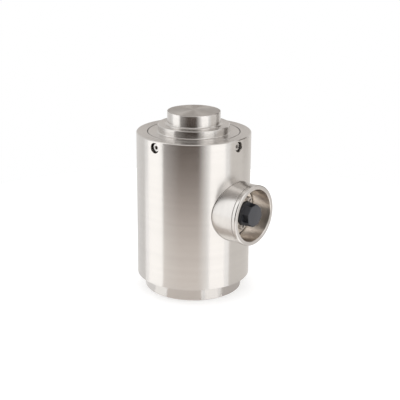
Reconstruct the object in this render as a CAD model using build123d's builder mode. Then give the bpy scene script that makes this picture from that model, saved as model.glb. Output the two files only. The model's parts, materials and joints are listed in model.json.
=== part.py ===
from build123d import *
import os
from math import cos, radians, sin, sqrt, tan

# Column load cell of the canister kind, standing upright. The origin is the centre of the base's
# underside, +Z runs up the column and the connector port looks along +X. Lengths are in millimetres.

os.makedirs("parts", exist_ok=True)

# Outer sleeve
sleeve_radius = 39.5
sleeve_wall = 7.6
sleeve_length = 102.5
sleeve_edge = 0.5
bore_edge = 0.2

# Load column: base flange and pilot, square gauge section, head disc, raised ring and button
base_setback = 5.5
base_height = 9.5
base_edge = 0.8
float_gap = 0.3
pilot_height = 12.7
head_thickness = 13.0
fit_gap = 0.3
neck_setback = 12.9
neck_fillet = 3.0
gauge_recess = 4.0
gauge_shoulder = 11.0
cutter_radius = 3.0
boss_radius = 24.8
boss_height = 5.2
boss_fillet = 0.5
step_radius = 19.6
step_height = 0.7
step_fillet = 0.5
button_radius = 18.3
button_rise = 14.7
button_fillet = 0.5
crown_radius = 300.0
head_edge = 0.3
thread_radius = 7.0
thread_depth = 18.0
drill_tip = 4.0

# O-rings between the column and the sleeve
groove_depth = 2.2
groove_width = 3.2
base_groove_rise = 6.0
head_groove_rise = 3.4
ring_clearance = 0.05

# Radial screws that hold the sleeve to the head
screw_drop = 4.7
screw_thread_radius = 1.5
screw_head_radius = 2.8
screw_head_height = 3.0
screw_length = 9.0
screw_sink = 1.7
screw_bore_radius = 3.6
screw_count = 4
socket_flats = 2.5
socket_depth = 1.6
socket_edge = 0.3
thread_clearance = 0.05
shank_clearance = 0.2
tip_clearance = 1.0

# Port collar on the sleeve
port_height = 62.7
collar_projection = 14.4
collar_radius = 20.5
collar_bore_radius = 17.8
lip_radius = 20.8
lip_width = 2.8
lip_fillet = 0.9
lip_groove_radius = 19.9
lip_groove_width = 0.8
mouth_edge = 0.3

# Connector flange at the bottom of the port, with its gasket and screws
recess_wall = 3.1
flange_thickness = 3.1
flange_clearance = 0.4
flange_edge = 0.5
flange_turn = 23.0
gasket_thickness = 0.8
flange_bolt_setback = 4.5
flange_screw_radius = 1.25
flange_head_radius = 2.3
flange_head_height = 1.5
flange_screw_length = 6.5
flange_screw_count = 4
flange_socket_flats = 2.0
flange_socket_depth = 0.9

# Receptacle through the connector flange
barrel_radius = 8.4
barrel_length = 6.7
shell_radius = 7.4
shell_bore_radius = 6.6
shell_tail = 4.9
nut_flats = 18.0
nut_thickness = 3.0
nut_clearance = 0.3
insulator_length = 6.5
insulator_recess = 1.0
contact_radius = 0.6
contact_setback = 3.4
contact_count = 5
contact_reach = 4.5
contact_tail = 1.6
boot_length = 3.6
boot_wall = 0.9
boot_neck_radius = 1.7
seat_clearance = 0.05

# Blanking cap with an eight sided head and a round flange
cap_sides = 8
cap_flats = 14.4
cap_head_length = 6.2
cap_edge = 0.4
cap_flange_radius = 9.3
cap_flange_thickness = 1.8
cap_turn = 30.0
cap_spigot_length = 4.5
cap_spigot_wall = 1.6
cap_spigot_clearance = 0.15
seal_thickness = 0.9

# Strain gauges, one on each flat, and the solder terminal under each
gauge_count = 4
foil_length = 13.0
foil_width = 8.0
foil_thickness = 0.2
strand_width = 0.35
strand_height = 0.1
strand_pitch = 0.75
strand_length = 4.0
strand_count = 7
terminal_width = 8.0
terminal_height = 4.0
terminal_thickness = 0.8
terminal_gap = 1.5
pad_size = 1.8
pad_height = 0.2

# Compensation board round the foot of the gauge section
board_neck_gap = 1.6
board_sleeve_gap = 1.5
board_thickness = 1.6
board_turn = 45.0
pillar_count = 4
pillar_radius = 2.5
pillar_height = 6.0
board_screw_radius = 1.0
board_screw_head_radius = 1.9
board_screw_head_height = 1.3
board_screw_length = 5.0
resistor_length = 3.2
resistor_width = 1.6
resistor_height = 0.8
resistor_count = 4
resistor_turn = 22.5

# Wiring
lead_radius = 0.7
lead_stand = 5.1
lead_drop = 4.6
lead_fall = 15.0
lead_lean = 0.4
lead_inset = 2.4
lead_rise = 10.0
bridge_lead_radius = 0.35
bridge_lead_spacing = 4.4
bridge_bend = 2.2
bridge_inset = 1.4
bridge_rise = 5.0

# Radii about the column axis
sleeve_bore_radius = sleeve_radius - sleeve_wall
head_radius = sleeve_bore_radius - fit_gap
base_radius = sleeve_radius - base_setback
neck_radius = sleeve_bore_radius - neck_setback
gauge_width = 2 * (neck_radius - gauge_recess)
board_inner_radius = neck_radius + board_neck_gap
board_outer_radius = sleeve_bore_radius - board_sleeve_gap
board_bolt_radius = (board_inner_radius + board_outer_radius) / 2

# Heights on the column axis
sleeve_bottom = base_height + float_gap
sleeve_top = sleeve_bottom + sleeve_length
cell_height = sleeve_top + button_rise
pilot_top = base_height + pilot_height
head_bottom = sleeve_top - head_thickness
boss_top = sleeve_top + boss_height
step_top = boss_top + step_height
crown_edge = cell_height - (crown_radius - sqrt(crown_radius**2 - button_radius**2))
gauge_bottom = pilot_top + gauge_shoulder
gauge_top = head_bottom - gauge_shoulder
gauge_middle = (gauge_bottom + gauge_top) / 2
base_groove_height = base_height + base_groove_rise
head_groove_height = head_bottom + head_groove_rise
screw_height = sleeve_top - screw_drop

# Distances from the column axis, along the port
screw_seat = sleeve_radius - screw_sink - screw_head_height
port_reach = sleeve_radius + collar_projection
recess_seat = sleeve_bore_radius + recess_wall
flange_back = recess_seat + gasket_thickness
floor_reach = flange_back + flange_thickness
barrel_front = floor_reach + barrel_length
shell_back = flange_back - shell_tail
cap_flange_back = barrel_front + seal_thickness
cap_flange_front = cap_flange_back + cap_flange_thickness
cap_front = cap_flange_front + cap_head_length
flange_radius = collar_bore_radius - flange_clearance
flange_bolt_radius = collar_bore_radius - flange_bolt_setback
contact_ring_radius = shell_bore_radius - contact_setback
passage_radius = nut_flats / 2 / cos(radians(30)) + nut_clearance
insulator_back = shell_back + insulator_recess

port_axis = Axis((0, 0, port_height), (1, 0, 0))
port_section = Plane(origin=(0, 0, port_height), x_dir=(1, 0, 0), z_dir=(0, -1, 0))


def port_plane(reach):
    """A plane across the port, with local x along +Y and local y along +Z."""
    return Plane(origin=(reach, 0, port_height), x_dir=(0, 1, 0), z_dir=(1, 0, 0))


def radial_plane(reach, angle, height):
    """A plane that faces away from the column axis, with local y along +Z."""
    outward = Vector(cos(radians(angle)), sin(radians(angle)), 0)
    place = outward * reach + Vector(0, 0, height)
    return Plane(origin=place, x_dir=(-outward.Y, outward.X, 0), z_dir=outward)


def radial_section(angle):
    """A plane through the column axis, with local x outward and local y along +Z."""
    outward = Vector(cos(radians(angle)), sin(radians(angle)), 0)
    return Plane(origin=(0, 0, 0), x_dir=outward, z_dir=outward.cross(Vector(0, 0, 1)))


def corners(sketch, *places):
    """The corners of a sketch that lie nearest to the places."""
    return [sketch.vertices().sort_by_distance(place)[0] for place in places]


def bend_radii(points):
    """The largest even bend at each inner point of a wire's route."""
    radii = []
    for before, corner, after in zip(points, points[1:], points[2:]):
        run_in = Vector(*corner) - Vector(*before)
        run_out = Vector(*after) - Vector(*corner)
        turn = radians(run_in.get_angle(run_out))
        radii.append(0.45 * min(run_in.length, run_out.length) / tan(turn / 2))
    return radii


screw_angles = [360 / screw_count * index for index in range(screw_count)]
gauge_angles = [360 / gauge_count * index for index in range(gauge_count)]

# Load column, turned from one bar, with four milled flats and a threaded hole in the base
with BuildPart() as load_column:
    with BuildSketch(Plane.XZ) as section:
        with BuildLine():
            TangentArc((0, cell_height), (button_radius, crown_edge), tangent=(1, 0))
            Polyline(
                (button_radius, crown_edge),
                (button_radius, step_top),
                (step_radius, step_top),
                (step_radius, boss_top),
                (boss_radius, boss_top),
                (boss_radius, sleeve_top),
                (head_radius, sleeve_top),
                (head_radius, head_bottom),
                (neck_radius, head_bottom),
                (neck_radius, pilot_top),
                (head_radius, pilot_top),
                (head_radius, base_height),
                (base_radius, base_height),
                (base_radius, 0),
                (thread_radius, 0),
                (thread_radius, thread_depth),
                (0, thread_depth + drill_tip),
                (0, cell_height),
            )
        make_face()
        fillet(corners(section, (button_radius, crown_edge)), radius=button_fillet)
        fillet(corners(section, (button_radius, step_top)), radius=step_fillet)
        fillet(corners(section, (boss_radius, sleeve_top)), radius=boss_fillet)
        fillet(corners(section, (neck_radius, head_bottom), (neck_radius, pilot_top)), radius=neck_fillet)
        chamfer(corners(section, (boss_radius, boss_top), (step_radius, step_top)), length=head_edge)
        chamfer(corners(section, (head_radius, sleeve_top), (base_radius, base_height)), length=head_edge)
        chamfer(corners(section, (base_radius, 0)), length=base_edge)
        with Locations((head_radius, base_groove_height), (head_radius, head_groove_height)):
            Rectangle(2 * groove_depth, groove_width, mode=Mode.SUBTRACT)
    revolve(axis=Axis.Z)
    for angle in gauge_angles:
        with BuildSketch(radial_section(angle)):
            with Locations((gauge_width / 2 + head_radius / 2, gauge_middle)):
                RectangleRounded(head_radius, gauge_top - gauge_bottom, cutter_radius)
        extrude(amount=neck_radius, both=True, mode=Mode.SUBTRACT)
    for angle in screw_angles:
        with Locations(radial_plane(head_radius, angle, screw_height)):
            Hole(
                radius=screw_thread_radius + thread_clearance,
                depth=head_radius - screw_seat + screw_length + tip_clearance,
            )
load_column.part.label = "load_column"
export_step(load_column.part, "parts/load_column.step")

# Outer sleeve, with the recess and passage of the port and the counterbored screw holes
with BuildPart() as outer_sleeve:
    with BuildSketch(Plane.XZ) as wall:
        with Locations((sleeve_bore_radius, sleeve_bottom)):
            Rectangle(sleeve_wall, sleeve_length, align=(Align.MIN, Align.MIN))
        chamfer(corners(wall, (sleeve_radius, sleeve_top), (sleeve_radius, sleeve_bottom)), length=sleeve_edge)
        chamfer(
            corners(wall, (sleeve_bore_radius, sleeve_top), (sleeve_bore_radius, sleeve_bottom)),
            length=bore_edge,
        )
    revolve(axis=Axis.Z)
    with BuildSketch(port_plane(recess_seat)):
        Circle(collar_bore_radius)
    extrude(amount=sleeve_radius - recess_seat, mode=Mode.SUBTRACT)
    with BuildSketch(port_plane(0)):
        Circle(passage_radius)
    extrude(amount=recess_seat, mode=Mode.SUBTRACT)
    with Locations(port_plane(recess_seat)):
        with PolarLocations(flange_bolt_radius, flange_screw_count, start_angle=flange_turn):
            Hole(radius=flange_screw_radius + thread_clearance, depth=recess_wall)
    for angle in screw_angles:
        with Locations(radial_plane(sleeve_radius, angle, screw_height)):
            CounterBoreHole(
                radius=screw_thread_radius + shank_clearance,
                counter_bore_radius=screw_bore_radius,
                counter_bore_depth=screw_sink + screw_head_height,
                depth=sleeve_wall + fit_gap,
            )
outer_sleeve.part.label = "outer_sleeve"
export_step(outer_sleeve.part, "parts/outer_sleeve.step")

# Port collar: a tube with a lip at its mouth, saddle-cut to the sleeve
collar_root = sqrt(sleeve_radius**2 - collar_radius**2) - 1.0
groove_front = port_reach - lip_width
with BuildPart() as port_collar:
    with BuildSketch(port_section) as tube:
        with BuildLine():
            Polyline(
                (collar_root, collar_bore_radius),
                (port_reach, collar_bore_radius),
                (port_reach, lip_radius),
                (groove_front, lip_radius),
                (groove_front, lip_groove_radius),
                (groove_front - lip_groove_width, lip_groove_radius),
                (groove_front - lip_groove_width, collar_radius),
                (collar_root, collar_radius),
                close=True,
            )
        make_face()
        fillet(corners(tube, (port_reach, lip_radius)), radius=lip_fillet)
        chamfer(corners(tube, (port_reach, collar_bore_radius)), length=mouth_edge)
    revolve(axis=port_axis)
    with Locations((0, 0, port_height)):
        Cylinder(sleeve_radius, 4 * collar_radius, mode=Mode.SUBTRACT)
port_collar.part.label = "port_collar"
export_step(port_collar.part, "parts/port_collar.step")

# O-rings in the grooves of the pilot and of the head
ring_section_radius = (groove_depth + fit_gap) / 2 - ring_clearance
ring_centre_radius = head_radius - groove_depth + (groove_depth + fit_gap) / 2
for ring_name, ring_height in (("base_o_ring", base_groove_height), ("head_o_ring", head_groove_height)):
    with BuildPart() as o_ring:
        with BuildSketch(Plane.XZ):
            with Locations((ring_centre_radius, ring_height)):
                Circle(ring_section_radius)
        revolve(axis=Axis.Z)
    o_ring.part.label = ring_name
    export_step(o_ring.part, f"parts/{ring_name}.step")

# Cap screws through the sleeve into the head
for index, angle in enumerate(screw_angles, start=1):
    with BuildPart() as sleeve_screw:
        seat = radial_plane(screw_seat, angle, screw_height)
        with BuildSketch(seat):
            Circle(screw_head_radius)
        extrude(amount=screw_head_height)
        chamfer(sleeve_screw.edges().group_by(Axis(seat.origin, seat.z_dir))[-1], length=socket_edge)
        with BuildSketch(radial_plane(screw_seat + screw_head_height, angle, screw_height)):
            RegularPolygon(socket_flats / 2, 6, major_radius=False)
        extrude(amount=-socket_depth, mode=Mode.SUBTRACT)
        with BuildSketch(seat):
            Circle(screw_thread_radius)
        extrude(amount=-screw_length)
    sleeve_screw.part.label = f"sleeve_screw_{index}"
    export_step(sleeve_screw.part, f"parts/sleeve_screw_{index}.step")

# Gasket and connector flange at the bottom of the port
with BuildPart() as flange_gasket:
    with BuildSketch(port_plane(recess_seat)):
        Circle(flange_radius)
        Circle(passage_radius, mode=Mode.SUBTRACT)
        with PolarLocations(flange_bolt_radius, flange_screw_count, start_angle=flange_turn):
            Circle(flange_screw_radius + shank_clearance, mode=Mode.SUBTRACT)
    extrude(amount=gasket_thickness)
flange_gasket.part.label = "flange_gasket"
export_step(flange_gasket.part, "parts/flange_gasket.step")

with BuildPart() as connector_flange:
    with BuildSketch(port_plane(flange_back)):
        Circle(flange_radius)
    extrude(amount=flange_thickness)
    chamfer(connector_flange.edges().group_by(Axis.X)[-1], length=flange_edge)
    with BuildSketch(port_plane(flange_back)):
        Circle(shell_radius + seat_clearance)
        with PolarLocations(flange_bolt_radius, flange_screw_count, start_angle=flange_turn):
            Circle(flange_screw_radius + shank_clearance)
    extrude(amount=flange_thickness, mode=Mode.SUBTRACT)
connector_flange.part.label = "connector_flange"
export_step(connector_flange.part, "parts/connector_flange.step")

# Low-head screws of the connector flange
for index in range(flange_screw_count):
    turn = radians(flange_turn + 360 / flange_screw_count * index)
    screw_place = (flange_bolt_radius * cos(turn), flange_bolt_radius * sin(turn))
    with BuildPart() as flange_screw:
        with BuildSketch(port_plane(floor_reach)):
            with Locations(screw_place):
                Circle(flange_head_radius)
        extrude(amount=flange_head_height)
        fillet(flange_screw.edges().group_by(Axis.X)[-1], radius=flange_head_height / 3)
        with BuildSketch(port_plane(floor_reach + flange_head_height)):
            with Locations(screw_place):
                RegularPolygon(flange_socket_flats / 2, 6, major_radius=False)
        extrude(amount=-flange_socket_depth, mode=Mode.SUBTRACT)
        with BuildSketch(port_plane(floor_reach)):
            with Locations(screw_place):
                Circle(flange_screw_radius)
        extrude(amount=-flange_screw_length)
    flange_screw.part.label = f"flange_screw_{index + 1}"
    export_step(flange_screw.part, f"parts/flange_screw_{index + 1}.step")

# Receptacle: shell, lock nut, insulator, contacts and rear boot
with BuildPart() as connector_shell:
    with BuildSketch(port_section) as shell_wall:
        with BuildLine():
            Polyline(
                (shell_back, shell_bore_radius),
                (barrel_front, shell_bore_radius),
                (barrel_front, barrel_radius),
                (floor_reach, barrel_radius),
                (floor_reach, shell_radius),
                (shell_back, shell_radius),
                close=True,
            )
        make_face()
        chamfer(corners(shell_wall, (barrel_front, barrel_radius)), length=mouth_edge)
        chamfer(corners(shell_wall, (barrel_front, shell_bore_radius)), length=mouth_edge)
    revolve(axis=port_axis)
connector_shell.part.label = "connector_shell"
export_step(connector_shell.part, "parts/connector_shell.step")

with BuildPart() as lock_nut:
    with BuildSketch(port_plane(flange_back)):
        RegularPolygon(nut_flats / 2, 6, major_radius=False)
        Circle(shell_radius + seat_clearance, mode=Mode.SUBTRACT)
    extrude(amount=-nut_thickness)
lock_nut.part.label = "lock_nut"
export_step(lock_nut.part, "parts/lock_nut.step")

with BuildPart() as insulator:
    with BuildSketch(port_plane(insulator_back)):
        Circle(shell_bore_radius - seat_clearance)
        with PolarLocations(contact_ring_radius, contact_count, start_angle=90):
            Circle(contact_radius + seat_clearance, mode=Mode.SUBTRACT)
    extrude(amount=insulator_length)
insulator.part.label = "insulator"
export_step(insulator.part, "parts/insulator.step")

with BuildPart() as contacts:
    with BuildSketch(port_plane(insulator_back - contact_tail)):
        with PolarLocations(contact_ring_radius, contact_count, start_angle=90):
            Circle(contact_radius)
    extrude(amount=contact_tail + insulator_length + contact_reach)
    fillet(contacts.edges().group_by(Axis.X)[-1], radius=contact_radius / 2)
contacts.part.label = "contacts"
export_step(contacts.part, "parts/contacts.step")

boot_back = shell_back - boot_length
with BuildPart() as rear_boot:
    with BuildSketch(port_section):
        with BuildLine():
            Polyline(
                (shell_back, shell_radius - boot_wall),
                (shell_back, shell_radius),
                (boot_back + boot_wall, boot_neck_radius),
                (boot_back, boot_neck_radius),
                (boot_back, lead_radius + seat_clearance),
                (boot_back + 2 * boot_wall, lead_radius + seat_clearance),
                close=True,
            )
        make_face()
    revolve(axis=port_axis)
rear_boot.part.label = "rear_boot"
export_step(rear_boot.part, "parts/rear_boot.step")

# Blanking cap, and the flat seal between its flange and the barrel
spigot_radius = shell_bore_radius - cap_spigot_clearance
with BuildPart() as blanking_cap:
    with BuildSketch(port_plane(cap_flange_front)):
        RegularPolygon(cap_flats / 2, cap_sides, major_radius=False, rotation=cap_turn)
    extrude(amount=cap_head_length)
    chamfer(blanking_cap.edges().group_by(Axis.X)[-1], length=cap_edge)
    with BuildSketch(port_plane(cap_flange_back)):
        Circle(cap_flange_radius)
    extrude(amount=cap_flange_thickness)
    with BuildSketch(port_plane(cap_flange_back)):
        Circle(spigot_radius)
        Circle(spigot_radius - cap_spigot_wall, mode=Mode.SUBTRACT)
    extrude(amount=-cap_spigot_length)
blanking_cap.part.label = "blanking_cap"
export_step(blanking_cap.part, "parts/blanking_cap.step")

with BuildPart() as cap_seal:
    with BuildSketch(port_plane(barrel_front)):
        Circle(barrel_radius)
        Circle(shell_bore_radius, mode=Mode.SUBTRACT)
    extrude(amount=seal_thickness)
cap_seal.part.label = "cap_seal"
export_step(cap_seal.part, "parts/cap_seal.step")

# Strain gauges: a backing film with an upright and a crosswise foil grid, each a run of strands
grid_offset = foil_length / 4
grid_reach = (strand_count - 1) / 2 * strand_pitch
for index, angle in enumerate(gauge_angles, start=1):
    with BuildPart(radial_plane(gauge_width / 2, angle, gauge_middle)) as strain_gauge:
        Box(foil_width, foil_length, foil_thickness, align=(Align.CENTER, Align.CENTER, Align.MIN))
        for grid_height, grid_turn in ((grid_offset, 0), (-grid_offset, 90)):
            with Locations(Location((0, grid_height, foil_thickness), (0, 0, grid_turn))):
                with GridLocations(strand_pitch, 0, strand_count, 1):
                    Box(
                        strand_width,
                        strand_length,
                        strand_height,
                        align=(Align.CENTER, Align.CENTER, Align.MIN),
                    )
                for gap in range(strand_count - 1):
                    side = 1 if gap % 2 else -1
                    loop_place = ((gap + 0.5) * strand_pitch - grid_reach, side * strand_length / 2, 0)
                    with Locations(loop_place):
                        Box(
                            strand_pitch + strand_width,
                            strand_width,
                            strand_height,
                            align=(Align.CENTER, Align.CENTER, Align.MIN),
                        )
    strain_gauge.part.label = f"strain_gauge_{index}"
    export_step(strain_gauge.part, f"parts/strain_gauge_{index}.step")

# Solder terminals, bonded to the flats under the gauges
terminal_centre = gauge_middle - foil_length / 2 - terminal_gap - terminal_height / 2
for index, angle in enumerate(gauge_angles, start=1):
    with BuildPart(radial_plane(gauge_width / 2, angle, terminal_centre)) as solder_terminal:
        Box(
            terminal_width,
            terminal_height,
            terminal_thickness,
            align=(Align.CENTER, Align.CENTER, Align.MIN),
        )
        with Locations((0, 0, terminal_thickness)):
            with GridLocations(bridge_lead_spacing, 0, 2, 1):
                Box(pad_size, pad_size, pad_height, align=(Align.CENTER, Align.CENTER, Align.MIN))
    solder_terminal.part.label = f"solder_terminal_{index}"
    export_step(solder_terminal.part, f"parts/solder_terminal_{index}.step")

# Compensation board on its pillars, with its screws and trim resistors
board_bottom = pilot_top + pillar_height
board_top = board_bottom + board_thickness
with BuildPart() as compensation_board:
    with BuildSketch(Plane.XY.offset(board_bottom)):
        Circle(board_outer_radius)
        Circle(board_inner_radius, mode=Mode.SUBTRACT)
        with PolarLocations(board_bolt_radius, pillar_count, start_angle=board_turn):
            Circle(board_screw_radius + shank_clearance, mode=Mode.SUBTRACT)
    extrude(amount=board_thickness)
compensation_board.part.label = "compensation_board"
export_step(compensation_board.part, "parts/compensation_board.step")

for index in range(pillar_count):
    turn = radians(board_turn + 360 / pillar_count * index)
    pillar_place = (board_bolt_radius * cos(turn), board_bolt_radius * sin(turn))
    with BuildPart() as board_pillar:
        with BuildSketch(Plane.XY.offset(pilot_top)):
            with Locations(pillar_place):
                Circle(pillar_radius)
        extrude(amount=pillar_height)
        with BuildSketch(Plane.XY.offset(board_bottom)):
            with Locations(pillar_place):
                Circle(board_screw_radius + thread_clearance)
        extrude(amount=-board_screw_length + board_thickness - shank_clearance, mode=Mode.SUBTRACT)
    board_pillar.part.label = f"board_pillar_{index + 1}"
    export_step(board_pillar.part, f"parts/board_pillar_{index + 1}.step")

    with BuildPart() as board_screw:
        with BuildSketch(Plane.XY.offset(board_top)):
            with Locations(pillar_place):
                Circle(board_screw_head_radius)
        extrude(amount=board_screw_head_height)
        fillet(board_screw.edges().group_by(Axis.Z)[-1], radius=board_screw_head_height / 3)
        with BuildSketch(Plane.XY.offset(board_top)):
            with Locations(pillar_place):
                Circle(board_screw_radius)
        extrude(amount=-board_screw_length)
    board_screw.part.label = f"board_screw_{index + 1}"
    export_step(board_screw.part, f"parts/board_screw_{index + 1}.step")

with BuildPart() as trim_resistors:
    with BuildSketch(Plane.XY.offset(board_top)):
        with PolarLocations(board_bolt_radius, resistor_count, start_angle=resistor_turn):
            with Locations((0, -resistor_length), (0, resistor_length)):
                Rectangle(resistor_width, resistor_length)
    extrude(amount=resistor_height)
trim_resistors.part.label = "trim_resistors"
export_step(trim_resistors.part, "parts/trim_resistors.step")

# Bridge leads, two from each solder terminal down to the board
terminal_face = gauge_width / 2 + terminal_thickness + pad_height
bridge_route = [
    (terminal_face, terminal_centre),
    (terminal_face + bridge_bend, terminal_centre),
    (terminal_face + 1.65 * bridge_bend, terminal_centre - 0.65 * bridge_bend),
    (terminal_face + 1.95 * bridge_bend, terminal_centre - 1.8 * bridge_bend),
    (neck_radius + bridge_inset, gauge_bottom + 2 * bridge_bend),
    (board_inner_radius + bridge_inset, board_top + bridge_rise),
    (board_inner_radius + bridge_inset, board_top),
]
print("bridge lead radii", [round(radius, 2) for radius in bend_radii(bridge_route)])
for index, angle in enumerate(gauge_angles, start=1):
    with BuildPart() as bridge_leads:
        for side in (-bridge_lead_spacing / 2, bridge_lead_spacing / 2):
            with BuildLine(radial_section(angle).offset(side)) as lead_line:
                FilletPolyline(*bridge_route, radius=bend_radii(bridge_route))
            with BuildSketch(Plane(origin=lead_line.line @ 0, z_dir=lead_line.line % 0)):
                Circle(bridge_lead_radius)
            sweep(path=lead_line.line)
    bridge_leads.part.label = f"bridge_leads_{index}"
    export_step(bridge_leads.part, f"parts/bridge_leads_{index}.step")

# Signal lead from the rear boot down to the board
lead_start = boot_back + 2 * boot_wall
lead_reach = gauge_width / 2 + lead_stand
signal_route = [
    (lead_start, port_height),
    ((lead_start + lead_reach) / 2, port_height),
    (lead_reach, port_height - lead_drop),
    (lead_reach + lead_lean, port_height - lead_fall),
    (board_inner_radius + lead_inset, board_top + lead_rise),
    (board_inner_radius + lead_inset, board_top),
]
print("signal lead radii", [round(radius, 2) for radius in bend_radii(signal_route)])
with BuildPart() as signal_lead:
    with BuildLine(radial_section(0)) as lead_line:
        FilletPolyline(*signal_route, radius=bend_radii(signal_route))
    with BuildSketch(Plane(origin=lead_line.line @ 0, z_dir=lead_line.line % 0)):
        Circle(lead_radius)
    sweep(path=lead_line.line)
signal_lead.part.label = "signal_lead"
export_step(signal_lead.part, "parts/signal_lead.step")
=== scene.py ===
# %% [markdown]
# # A column load cell
#
# The object is a compression load cell: a thick turned sleeve round a steel column, a load button on
# top, four cap screws sunk under the sleeve's top edge, and a welded port collar at the side with a
# black eight-sided cap in it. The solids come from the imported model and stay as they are. This lesson
# adds what Blender is good at: turned and moulded finishes, screws with knurls and sockets, the
# pockets of the cap, the weld bead, the thread in the base, and the photograph's light and camera.

# %% Load the solids and keep their box
import json
import math
from functools import partial

import bmesh
import bpy
from mathutils import Matrix, Vector


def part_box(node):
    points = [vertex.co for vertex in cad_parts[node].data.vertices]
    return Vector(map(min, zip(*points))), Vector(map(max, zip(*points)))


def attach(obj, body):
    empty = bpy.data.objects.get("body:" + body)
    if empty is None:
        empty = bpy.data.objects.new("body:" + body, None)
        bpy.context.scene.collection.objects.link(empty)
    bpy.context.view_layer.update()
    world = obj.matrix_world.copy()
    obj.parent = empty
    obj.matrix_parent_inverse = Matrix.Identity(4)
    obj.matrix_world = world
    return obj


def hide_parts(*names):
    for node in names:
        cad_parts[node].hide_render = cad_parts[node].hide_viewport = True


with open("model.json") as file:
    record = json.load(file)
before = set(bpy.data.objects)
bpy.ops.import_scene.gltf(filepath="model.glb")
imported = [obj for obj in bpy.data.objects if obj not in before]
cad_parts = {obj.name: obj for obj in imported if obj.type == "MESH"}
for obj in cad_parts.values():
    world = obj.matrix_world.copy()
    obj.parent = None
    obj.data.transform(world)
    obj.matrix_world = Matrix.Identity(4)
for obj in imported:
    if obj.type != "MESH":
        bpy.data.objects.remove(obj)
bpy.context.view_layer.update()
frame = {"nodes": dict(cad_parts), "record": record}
nodes = frame["nodes"]
scene = bpy.context.scene
scene.view_settings.view_transform = "Standard"
MM = 0.001
print("view transform", scene.view_settings.view_transform)

# %% [markdown]
# The camera comes first, because the light is set out from it. The photograph was taken with a long
# lens from a little above, with the port turned away to the right. Its distance, height and lens were
# worked out from the ellipses of the button, the sleeve and the base, so the places below are real
# millimetres. A roll of less than half a degree is kept, because the photograph leans that much.

# %% Camera
CAMERA_AZIMUTH = math.radians(40.4)
CAMERA_PITCH = math.radians(18.0)
CAMERA_ROLL = math.radians(0.405)
CAMERA_AIM = Vector((0, 0, 63.2)) * MM
CAMERA_SHIFT_RIGHT = -4.564 * MM
CAMERA_SHIFT_UP = 0.947 * MM
CAMERA_DISTANCE = 680.4 * MM
FOCAL_PIXELS = 969.2
FRAME_PIXELS = 400
SENSOR_MM = 36.0
CLIP_START, CLIP_END = 0.01, 20.0


def around(azimuth_from_camera, radius, height):
    """A place at an angle round the column, counted from the camera's own side."""
    angle = CAMERA_AZIMUTH + math.radians(azimuth_from_camera)
    return Vector((math.sin(angle) * radius, -math.cos(angle) * radius, height))


def show(name, data):
    """Puts a mesh, lamp or camera in the scene as an object."""
    item = bpy.data.objects.new(name, data)
    scene.collection.objects.link(item)
    return item


def make_camera():
    """The photograph's viewpoint."""
    right = Vector((math.cos(CAMERA_AZIMUTH), math.sin(CAMERA_AZIMUTH), 0))
    ahead = Vector((-math.sin(CAMERA_AZIMUTH), math.cos(CAMERA_AZIMUTH), 0)) * math.cos(CAMERA_PITCH)
    ahead.z = -math.sin(CAMERA_PITCH)
    up = right.cross(ahead)
    place = CAMERA_AIM - right * CAMERA_SHIFT_RIGHT - up * CAMERA_SHIFT_UP - ahead * CAMERA_DISTANCE
    rolled_right = right * math.cos(CAMERA_ROLL) + up * math.sin(CAMERA_ROLL)
    rolled_up = up * math.cos(CAMERA_ROLL) - right * math.sin(CAMERA_ROLL)
    turn = Matrix((rolled_right, rolled_up, -ahead)).transposed()
    data = bpy.data.cameras.new("camera")
    data.sensor_width = SENSOR_MM
    data.lens = FOCAL_PIXELS / FRAME_PIXELS * SENSOR_MM
    data.clip_start, data.clip_end = CLIP_START, CLIP_END
    camera = show("camera", data)
    camera.matrix_world = Matrix.Translation(place) @ turn.to_4x4()
    return camera


camera = bpy.context.scene.camera = make_camera()
print("camera", [round(v / MM) for v in camera.location], "mm, lens", round(camera.data.lens, 1), "mm")

# %% [markdown]
# Every material below is made of nodes, and so are the light and the repeated pieces. A few helpers
# keep that short. One adds a node with its properties and inputs, and short names stand for the sums
# that come up most. An input takes a value or another node's output. The last helper makes a surface
# that glows evenly, for the cards that the metal mirrors.

# %% Small helpers for nodes
NODE_SPACING = 180


def feed(tree, value, socket):
    """Links a socket to another, or sets its value. A colour gets its alpha of 1."""
    if isinstance(value, bpy.types.NodeSocket):
        tree.links.new(value, socket)
    elif socket.type == "RGBA":
        socket.default_value = (*value, 1)
    else:
        socket.default_value = value


def feed_all(tree, node, **inputs):
    """Feeds a node's inputs by name, with _ for a space."""
    for name, value in inputs.items():
        feed(tree, value, node.inputs[name.replace("_", " ")])


def add_node(tree, kind, *values, **named):
    """Adds a node. Names in small letters are its properties, and those with a capital its inputs."""
    node = tree.nodes.new(kind)
    node.location = (NODE_SPACING * len(tree.nodes), 0)
    for name, value in named.items():
        if name[0].islower():
            setattr(node, name, value)
    for value, socket in zip(values, node.inputs):
        feed(tree, value, socket)
    feed_all(tree, node, **{name: value for name, value in named.items() if name[0].isupper()})
    return node


def math_node(operation, tree, *values):
    """A math node fed by sockets or numbers."""
    return add_node(tree, "ShaderNodeMath", *values, operation=operation).outputs[0]


plus, minus = partial(math_node, "ADD"), partial(math_node, "SUBTRACT")
times, over = partial(math_node, "MULTIPLY"), partial(math_node, "DIVIDE")
larger, above = partial(math_node, "MAXIMUM"), partial(math_node, "GREATER_THAN")
size_of = partial(math_node, "ABSOLUTE")


def split_node(tree, vector):
    """The X, Y and Z of a vector."""
    return add_node(tree, "ShaderNodeSeparateXYZ", vector).outputs


def join_node(tree, *values):
    """A vector from its X, Y and Z."""
    return add_node(tree, "ShaderNodeCombineXYZ", *values).outputs[0]


def empty_material(name):
    """A new material, its tree with nothing but an output, and the socket to end in."""
    material = bpy.data.materials.new(name)
    material.use_nodes = True
    tree = material.node_tree
    tree.nodes.clear()
    return material, tree, add_node(tree, "ShaderNodeOutputMaterial").inputs["Surface"]


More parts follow.
